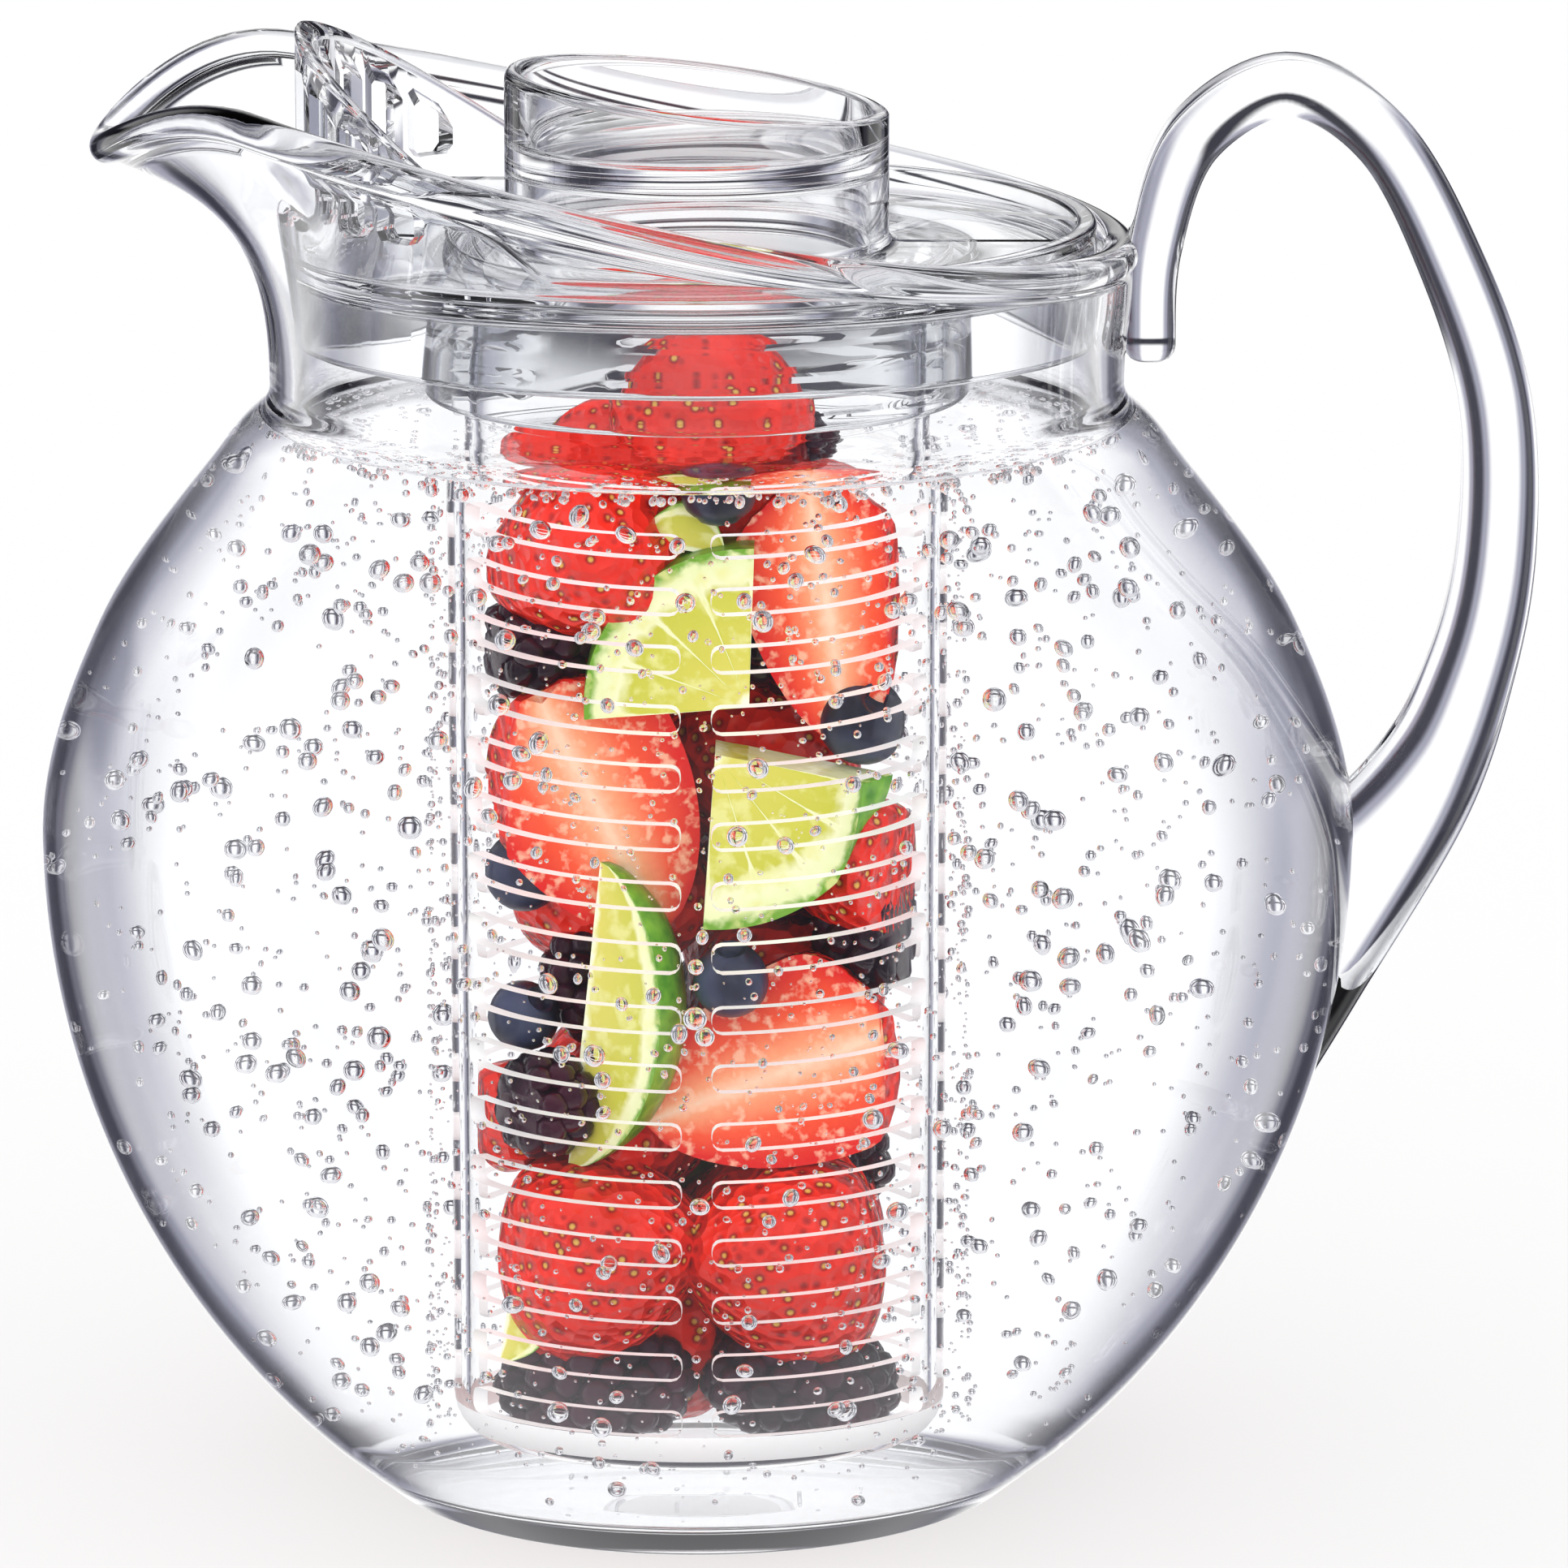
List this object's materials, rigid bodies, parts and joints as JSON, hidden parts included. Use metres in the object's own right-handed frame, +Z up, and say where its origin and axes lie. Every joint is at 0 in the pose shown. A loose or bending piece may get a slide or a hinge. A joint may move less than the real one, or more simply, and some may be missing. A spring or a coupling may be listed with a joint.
{
  "type": "fruit infuser pitcher",
  "caption": "Clear globular pitcher with a broad spout, hooked solid handle, drop-in strainer lid with a finger cup, and a slotted tube infuser that screws in under the lid.",
  "frame": {"origin": "on the bowl's axis at the underside of the base", "axes": "+Z up along the bowl's axis, -X towards the spout, +X towards the handle"},
  "size_m": [0.2166, 0.1904, 0.2145],
  "materials": {
    "jug_acrylic": "clear moulded acrylic, polished, slight cool edge tint",
    "lid_acrylic": "clear moulded acrylic, polished, slight cool edge tint",
    "infuser_acrylic": "clear moulded acrylic, polished, slight cool edge tint"
  },
  "bodies": {
    "jug": {"jug_body": "jug_acrylic", "jug_handle": "jug_acrylic"},
    "lid": {"lid_plate": "lid_acrylic", "strainer_fence": "lid_acrylic", "lid_turret": "lid_acrylic", "infuser_collar": "lid_acrylic"},
    "infuser": {"infuser_tube": "infuser_acrylic"}
  },
  "joints": [
    {"name": "lid_lift", "type": "slide", "parent": "jug", "child": "lid", "axis": [0, 0, 1], "range_m": [0, 0.21]},
    {"name": "infuser_turn", "type": "hinge", "parent": "lid", "child": "infuser", "pos_m": [0, 0, 0.17], "axis": [0, 0, -1], "range_deg": [0, 90]}
  ]
}
